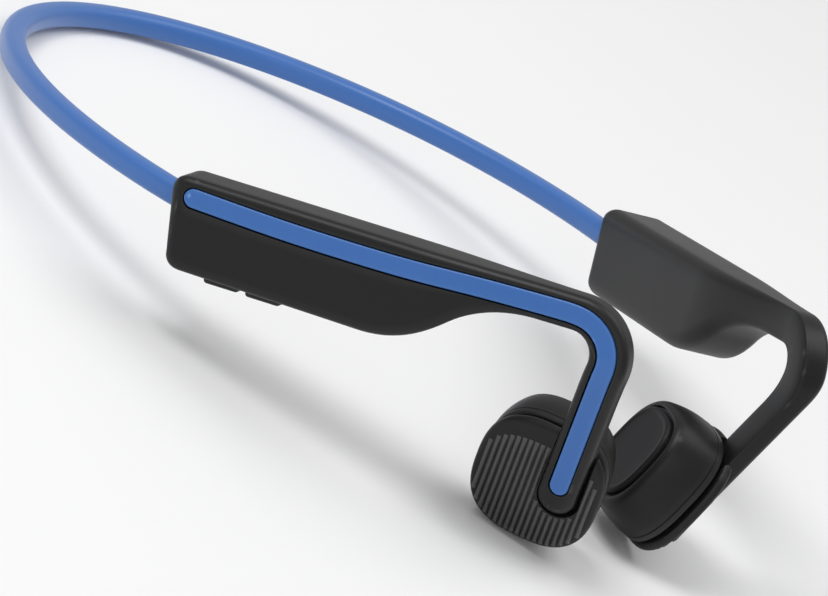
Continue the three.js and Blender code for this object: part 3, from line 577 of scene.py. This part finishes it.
def finish_cad_nodes():
    for part in frame["record"]["subparts"]:
        obj = frame["nodes"][part["node"]]
        obj.data.materials.clear()
        obj.data.materials.append(BY_SLOT[part["material_slot"]])


finish_cad_nodes()


# ---- Housing and hook in one skin ----
def rim_drop(depth, radius):
    """How far a rounded edge falls away at that distance from the outline."""
    inside = np.clip(radius - depth, 0, radius)
    return radius - np.sqrt(np.maximum(radius**2 - inside**2, 0))


def spread(start, end, steps, crowd_start=False, crowd_end=False):
    t = np.linspace(0, 1, steps)
    if crowd_start:
        t = 1 - np.cos(t * math.pi / 2)
    elif crowd_end:
        t = np.sin(t * math.pi / 2)
    return start + (end - start) * t


def section_samples(above, below, half):
    """Where to sample across the unit: from its upper edge, over the groove, to its lower edge."""
    lip = 0.02
    rim = min(OUTER_ROUND, (above - half - lip) * 0.7)
    deep = min(INNER_ROUND, max((below - half - lip) * 0.7, 0.01))
    return np.concatenate([
        spread(above, above - rim, 8, crowd_start=True)[:-1],
        spread(above - rim, half + lip, 4),
        spread(half - lip if half > lip else 0, -(half - lip) if half > lip else 0, 5),
        spread(-half - lip, -(below - deep), 12),
        spread(-(below - deep), -below, 10, crowd_end=True)[1:],
    ])


def unit_sections():
    """(centre, across, groove half width) from the unit's rear edge to the tongue's tip."""
    groove = strip_sections(STRIP_HALF_WIDTH + GROOVE_GAP)
    rear_edge = np.array([-1.3, 7.8])
    rear_edge /= np.linalg.norm(rear_edge)
    first, last = groove[0][0], groove[-1][0]
    sections = []
    for u in spread(0.23, first[0], 22, crowd_start=True)[:-1]:
        t = ease((u - 0.23) / (first[0] - 0.23))
        across = lerp(rear_edge, groove[0][1], t)
        sections.append((np.array([u, first[1]]), across / np.linalg.norm(across), 0.0))
    sections += groove
    tip = TONGUE_END + TONGUE_DOWN * (TONGUE_HALF_WIDTH - 0.004)
    along = tip - last
    for t in spread(0, 1, 26, crowd_end=True)[1:]:
        centre = last + along * t
        across = groove[-1][1]
        sections.append((centre, across, 0.0))
    return sections


def housing_skin(side):
    sections = unit_sections()
    flat, floor = [], []
    for centre, across, half in sections:
        above, below = reach(centre, across), reach(centre, -across)
        offsets = section_samples(above - 1e-4, below - 1e-4, half)
        flat.append(centre + offsets[:, None] * across)
        floor.append(np.abs(offsets) < half)
    columns = len(flat[0])
    flat, floor = np.concatenate(flat), np.concatenate(floor)
    depth = depth_inside(flat)
    top = -rim_drop(depth, OUTER_ROUND)
    top[floor] = -GROOVE_DEPTH
    under = rim_drop(depth, INNER_ROUND) - POD_THICKNESS
    outer = np.concatenate([flat, top[:, None]], axis=1)
    inner = np.concatenate([flat, under[:, None]], axis=1)
    rows, count = len(sections), len(flat)
    faces = grid_faces(rows, columns) + grid_faces(rows, columns, start=count)
    walls = [[i * columns for i in range(rows)], [(i + 1) * columns - 1 for i in range(rows)]]
    walls += [list(range(columns)), list(range(count - columns, count))]
    middle, number = [], 2 * count
    for wall in walls:
        levels = []
        for z in (-SKIN_DEPTH, -4.2, -5.8):
            levels.append(list(range(number, number + len(wall))))
            middle.append(np.concatenate([flat[wall], np.full((len(wall), 1), z)], axis=1))
            number += len(wall)
        stack = [wall, *levels, [k + count for k in wall]]
        for upper, lower in zip(stack, stack[1:]):
            faces += [(upper[i], upper[i + 1], lower[i + 1], lower[i]) for i in range(len(wall) - 1)]
    points = bent(np.concatenate([outer, inner, *middle]))
    return make(f"{side}_housing", points, faces, unit_frame(side), BLACK, 32)


def opening_cutter(u, size, bottom, top, matrix):
    """Cuts an opening of that length and width, with its gap, on the line of the controls."""
    half, width = size[0] / 2 + OPENING_GAP, size[1] / 2 + OPENING_GAP
    low = (u - half, bottom, CONTROLS_Z - width)
    high = (u + half, top, CONTROLS_Z + width)
    return rounded_block("cutter", low, high, 0.25, matrix, BLACK, 3)


def hole_cutter(u, v, radius, depth, matrix):
    angles = np.linspace(0, 2 * math.pi, 24, endpoint=False)
    rings = []
    for height in (v - 1, v + depth):
        x, z = u + radius * np.cos(angles), CONTROLS_Z + radius * np.sin(angles)
        rings.append(np.stack([x, np.full(24, height), z], axis=1))
    return loft("cutter", rings, matrix, BLACK)


def bored_housing(side):
    skin = housing_skin(side)
    matrix = unit_frame(side)
    cutters = [hole_cutter(MIC_U, -POD_HEIGHT, 0.45, 3.0, matrix)]
    if side == "right":
        for u in BUTTON_CENTRES.values():
            size = (BUTTON_LENGTH, BUTTON_WIDTH)
            cutters.append(opening_cutter(u, size, -POD_HEIGHT - 2, -POD_HEIGHT + 2.4, matrix))
        size = (PORT_LENGTH, PORT_WIDTH)
        cutters.append(opening_cutter(PORT_CENTRE_U, size, -POD_HEIGHT - 1, -POD_HEIGHT + 8, matrix))
        cutters.append(hole_cutter(LED_U, -POD_HEIGHT, 0.95, 2.0, matrix))
    cut(skin, *cutters)
    smooth(skin, 32)
    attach(skin, f"{side}_unit")
    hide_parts(f"{side}_outer_shell", f"{side}_inner_shell", f"{side}_ear_hook")


def accent_strip(side):
    rows = []
    samples = np.concatenate([spread(1, 0.72, 7, crowd_start=True), spread(0.6, -0.6, 7),
                              spread(-0.72, -1, 7, crowd_end=True)])
    sections = strip_sections(STRIP_HALF_WIDTH)
    for centre, across, half in sections:
        half = max(half, 0.01)
        flat = centre + (samples * half)[:, None] * across
        rows.append(np.concatenate([flat, ((1 - np.abs(samples)) * half)[:, None]], axis=1))
    columns, count = len(samples), len(samples) * len(rows)
    flat = np.concatenate(rows)
    top = 0.04 - rim_drop(flat[:, 2], 0.32)
    outer = np.concatenate([flat[:, :2], top[:, None]], axis=1)
    under = np.concatenate([flat[:, :2], np.full((count, 1), -STRIP_DEPTH)], axis=1)
    faces = grid_faces(len(rows), columns) + grid_faces(len(rows), columns, start=count)
    walls = [[i * columns for i in range(len(rows))], [(i + 1) * columns - 1 for i in range(len(rows))]]
    walls += [list(range(columns)), list(range(count - columns, count))]
    for wall in walls:
        faces += [(a, b, b + count, a + count) for a, b in zip(wall, wall[1:])]
    points = bent(np.concatenate([outer, under]))
    strip = make(f"{side}_strip", points, faces, unit_frame(side), STRIP_BLUE, 50)
    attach(strip, f"{side}_unit")
    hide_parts(f"{side}_accent_strip")


# ---- Neckband ----
def band_point(angle):
    return np.array([-BAND_HALF_WIDTH * math.cos(angle), BAND_CENTRE_Y + BAND_DEPTH * math.sin(angle), 0.0])


def band_half(side):
    """The sleeve from one housing to the middle of the back."""
    start = math.asin((BAND_START_Y - BAND_CENTRE_Y) / BAND_DEPTH)
    angles = np.linspace(0, 2 * math.pi, 40, endpoint=False)
    c, s = np.cos(angles), np.sin(angles)
    wide = BAND_WIDTH / 2 * np.sign(c) * np.abs(c) ** BAND_ROUNDNESS
    high = BAND_HEIGHT / 2 * np.sign(s) * np.abs(s) ** BAND_ROUNDNESS
    rings = []
    for angle in np.linspace(start, math.pi / 2, 150):
        centre = band_point(angle)
        tangent = np.array([BAND_HALF_WIDTH * math.sin(angle), BAND_DEPTH * math.cos(angle)])
        tangent /= np.linalg.norm(tangent)
        outwards = np.array([-tangent[1], tangent[0], 0.0])
        rings.append(centre + wide[:, None] * outwards + high[:, None] * np.array([0, 0, 1.0]))
    matrix = BAND @ ACROSS if side == "left" else BAND
    band = loft(f"{side}_neckband", rings, matrix, SILICONE, 50)
    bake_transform(band)
    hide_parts(f"neckband_sleeve_{side}", "neckband_sleeve_rear")


# ---- Transducer ----
def tongue_tip():
    back = -float(inset_at(TONGUE_END[0], TONGUE_END[1])) - TONGUE_THICKNESS
    return HEAD.inverted() @ Vector((TONGUE_END[0], TONGUE_END[1], back))


TIP = tongue_tip()
SLOT_TOP = CAP_HALF[1] + 3


def slot_cutter(side):
    half = TONGUE_HALF_WIDTH + CLEARANCE + 0.1
    lower = arc((TIP.x, TIP.y), half, -math.pi, 0, 24)
    upper = arc((TIP.x, SLOT_TOP), half, 0, math.pi, 24)
    outline = np.concatenate([lower, upper])
    return loft("cutter", [ring_at(outline, -5), ring_at(outline, 2)], head_frame(side), RIBBED)


def rib_bar():
    """One rib of unit length along Y, whose ends sink away."""
    rings = []
    for y in np.concatenate([-spread(1, 0.8, 8), np.linspace(-0.7, 0.6, 6), spread(0.65, 1, 10)]):
        end = ease((1 - y) / 0.3) if y > 0 else ease((1 + y) / 0.12)
        angles = np.linspace(0, math.pi, 9)
        x = RIB_PITCH * 0.33 * np.cos(angles)
        z = RIB_HEIGHT * (np.sin(angles) * (0.1 + 0.9 * end)) - 0.001
        rings.append(np.stack([x, np.full(9, y), z], axis=1))
    return loft("rib", rings, Matrix.Identity(4), RIB_HIGHLIGHT, 80)


def rib_nodes(bar):
    """Repeats the bar on every point, as long as the point's half_length says."""
    tree = bpy.data.node_groups.new("ribs", "GeometryNodeTree")
    tree.interface.new_socket("Geometry", in_out="INPUT", socket_type="NodeSocketGeometry")
    tree.interface.new_socket("Geometry", in_out="OUTPUT", socket_type="NodeSocketGeometry")
    nodes, links = tree.nodes, tree.links
    source, result = nodes.new("NodeGroupInput"), nodes.new("NodeGroupOutput")
    length = node(nodes, "GeometryNodeInputNamedAttribute", data_type="FLOAT")
    length.inputs["Name"].default_value = "half_length"
    scale = node(nodes, "ShaderNodeCombineXYZ")
    scale.inputs["X"].default_value = 1
    scale.inputs["Z"].default_value = 1
    links.new(length.outputs["Attribute"], scale.inputs["Y"])
    shape = node(nodes, "GeometryNodeObjectInfo")
    shape.inputs["Object"].default_value = bar
    repeat = node(nodes, "GeometryNodeInstanceOnPoints")
    links.new(source.outputs[0], repeat.inputs["Points"])
    links.new(shape.outputs["Geometry"], repeat.inputs["Instance"])
    links.new(scale.outputs["Vector"], repeat.inputs["Scale"])
    real = node(nodes, "GeometryNodeRealizeInstances")
    links.new(repeat.outputs["Instances"], real.inputs["Geometry"])
    # The ribs take the lighter grey material, a painted highlight on their crests.
    paint = node(nodes, "GeometryNodeSetMaterial")
    paint.inputs["Material"].default_value = RIB_HIGHLIGHT
    links.new(real.outputs["Geometry"], paint.inputs["Geometry"])
    links.new(paint.outputs["Geometry"], result.inputs[0])
    return tree


def rib_field(side, body):
    """Ribs side by side over the cap, down to its rim, fading out below its smooth upper margin."""
    points, lengths = [], []
    reach_x = CAP_HALF[0] - 0.55
    for x in np.arange(-math.floor(reach_x / RIB_PITCH), math.floor(reach_x / RIB_PITCH) + 1) * RIB_PITCH:
        extent = (1 - abs(x / reach_x) ** SQUARENESS) ** (1 / SQUARENESS)
        low, high = -(CAP_HALF[1] - 0.6) * extent, (CAP_HALF[1] - 2.9) * extent
        gap = TONGUE_HALF_WIDTH + CLEARANCE + 0.35
        if abs(x - TIP.x) < gap:
            high = TIP.y - math.sqrt(gap**2 - (x - TIP.x) ** 2)
        if high - low > 1:
            points.append((x, (low + high) / 2, -RIB_HEIGHT))
            lengths.append((high - low) / 2)
    mesh = bpy.data.meshes.new(f"{side}_ribs")
    mesh.from_pydata(points, [], [])
    half_length = mesh.attributes.new("half_length", "FLOAT", "POINT")
    half_length.data.foreach_set("value", lengths)
    ribs = bpy.data.objects.new(f"{side}_ribs", mesh)
    bpy.context.collection.objects.link(ribs)
    bar = rib_bar()
    bar.data.transform(Matrix.Scale(1 / MM, 4))
    modifier = ribs.modifiers.new("ribs", "NODES")
    modifier.node_group = rib_nodes(bar)
    settle(ribs)
    bpy.data.objects.remove(bar)
    ribs.data.transform(Matrix.Scale(MM, 4) @ head_frame(side))
    if side == "left":
        ribs.data.flip_normals()
    smooth(ribs, 80)
    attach(ribs, body)


def cap(side, body, cad_node):
    profile = [(-CAP_THICKNESS, 0.5), (-CAP_THICKNESS + 0.1, 0.2), (-1.5, 0.02), (-1.2, 0.0)]
    profile += [(-RIB_HEIGHT - 0.8 * (1 - math.sin(a)), 0.9 * (1 - math.cos(a)))
                for a in np.linspace(0.15, math.pi / 2, 9)]
    profile += [(-RIB_HEIGHT + 0.02, 1.3), (-RIB_HEIGHT, 2.4)]
    rings = [ring_at(superellipse(CAP_HALF, inset, 128), z) for z, inset in profile]
    plate = loft(f"{side}_cap", rings, head_frame(side), RIBBED, 50)
    cut(plate, slot_cutter(side))
    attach(plate, body)
    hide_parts(cad_node)
    rib_field(side, body)


def cup(side):
    profile = [(CUP_TOP, 1.2), (CUP_TOP, 0.3), (CUP_TOP - 0.12, 0.06), (CUP_TOP - 0.3, 0.0)]
    profile += [(-3.5, 0.0), (-3.56, 0.1), (-3.72, 0.1), (-3.78, 0.02)]
    profile += [(-3.8 - 5.0 * t, 0.02 + 0.92 * t**1.9) for t in np.linspace(0.1, 1, 12)]
    profile += [(-8.8 - 1.2 * math.sin(a), 0.94 + 0.36 * math.sin(a) + 0.7 * (1 - math.cos(a)))
                for a in np.linspace(0.15, math.pi / 2, 10)]
    profile += [(CUP_BOTTOM + 0.04, 2.2), (CUP_BOTTOM + 0.4, 2.28), (CUP_BOTTOM + 0.4, 3.2)]
    rings = [ring_at(superellipse(CUP_HALF, inset, 128), z) for z, inset in profile]
    body = loft(f"{side}_transducer_body", rings, head_frame(side), BLACK, 50)
    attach(body, f"{side}_unit")
    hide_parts(f"{side}_transducer_cup")
    shoulder = PAD_FACE + 0.4
    pad_profile = [(shoulder + 0.8, 0.0), (shoulder, 0.0)]
    pad_profile += [(shoulder - 0.4 * math.sin(a), 0.4 * (1 - math.cos(a)))
                    for a in np.linspace(0.2, math.pi / 2, 7)]
    pad_profile += [(PAD_FACE, 0.6), (PAD_FACE + 0.12, 0.8), (PAD_FACE + 0.14, 1.1), (PAD_FACE + 0.14, 3.0)]
    rings = [ring_at(superellipse(PAD_HALF, inset, 128), z) for z, inset in pad_profile]
    pad = loft(f"{side}_pad", rings, head_frame(side), PAD, 50)
    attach(pad, f"{side}_unit")
    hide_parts(f"{side}_skin_pad")


# ---- Controls ----
def volume_button(name, u):
    half, width = BUTTON_LENGTH / 2, BUTTON_WIDTH / 2
    low = pod_bottom(u) - BUTTON_PROUD
    button = rounded_block(
        f"{name}_key", (u - half, low, CONTROLS_Z - width), (u + half, low + 2.6, CONTROLS_Z + width), 0.5,
        unit_frame("right"), BLACK)
    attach(button, name)
    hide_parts(f"{name}_button")


def port_cover():
    half, width = PORT_LENGTH / 2, PORT_WIDTH / 2
    cover = rounded_block(
        "port_flap", (PORT_CENTRE_U - half, -POD_HEIGHT, CONTROLS_Z - width),
        (PORT_CENTRE_U + half, COVER_THICKNESS - POD_HEIGHT, CONTROLS_Z + width), 0.25,
        unit_frame("right"), BLACK)
    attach(cover, "port_cover")
    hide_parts("charging_port_cover")


for side in ("right", "left"):
    bored_housing(side)
    accent_strip(side)
    band_half(side)
    cup(side)
cap("right", "right_unit", "right_transducer_cap")
cap("left", "multifunction", "multifunction_button")
for name, u in BUTTON_CENTRES.items():
    volume_button(name, u)
port_cover()


# ---- Stage ----
def camera():
    data = bpy.data.cameras.new("camera")
    data.lens = 299.4
    data.sensor_width = 36
    data.clip_end = 10
    obj = bpy.data.objects.new("camera", data)
    bpy.context.collection.objects.link(obj)
    right = Vector((0.6470, -0.5813, 0.4934))
    up = Vector((-0.0485, 0.6145, 0.7875))
    up = (up - right.normalized() * up.dot(right.normalized())).normalized()
    right.normalize()
    obj.matrix_world = basis(right, up, right.cross(up), (-0.7098, -0.5094, 0.3521))
    bpy.context.scene.camera = obj


def area_light(name, place, aim, size, power, colour=(1, 1, 1)):
    data = bpy.data.lights.new(name, "AREA")
    data.energy = power
    data.size = size
    data.color = colour
    obj = bpy.data.objects.new(name, data)
    bpy.context.collection.objects.link(obj)
    obj.location = place
    obj.rotation_euler = (Vector(aim) - Vector(place)).to_track_quat("-Z", "Y").to_euler()


def stage():
    half = 2.0
    mesh = bpy.data.meshes.new("floor")
    corners = [(-half, -half, 0), (half, -half, 0), (half, half, 0), (-half, half, 0)]
    mesh.from_pydata(corners, [], [(0, 1, 2, 3)])
    floor = bpy.data.objects.new("floor", mesh)
    bpy.context.collection.objects.link(floor)
    floor.location.z = -0.0002
    pale = bpy.data.materials.new("pale floor")
    pale.use_nodes = True
    pale.node_tree.nodes["Principled BSDF"].inputs["Base Color"].default_value = (0.9, 0.9, 0.9, 1)
    pale.node_tree.nodes["Principled BSDF"].inputs["Roughness"].default_value = 0.8
    mesh.materials.append(pale)
    world = bpy.data.worlds.new("studio")
    world.use_nodes = True
    world.node_tree.nodes["Background"].inputs["Color"].default_value = (1, 1, 1, 1)
    world.node_tree.nodes["Background"].inputs["Strength"].default_value = 0.42
    bpy.context.scene.world = world


camera()
stage()
centre = (0, 0, 0.015)
area_light("key", (-0.3, 0.15, 0.6), centre, 0.3, 2.0)
area_light("top", (0.25, -0.1, 0.65), centre, 0.5, 1.6)
area_light("side", (-0.5, -0.5, 0.3), centre, 0.35, 0.5)
bpy.context.scene.view_settings.view_transform = "Standard"
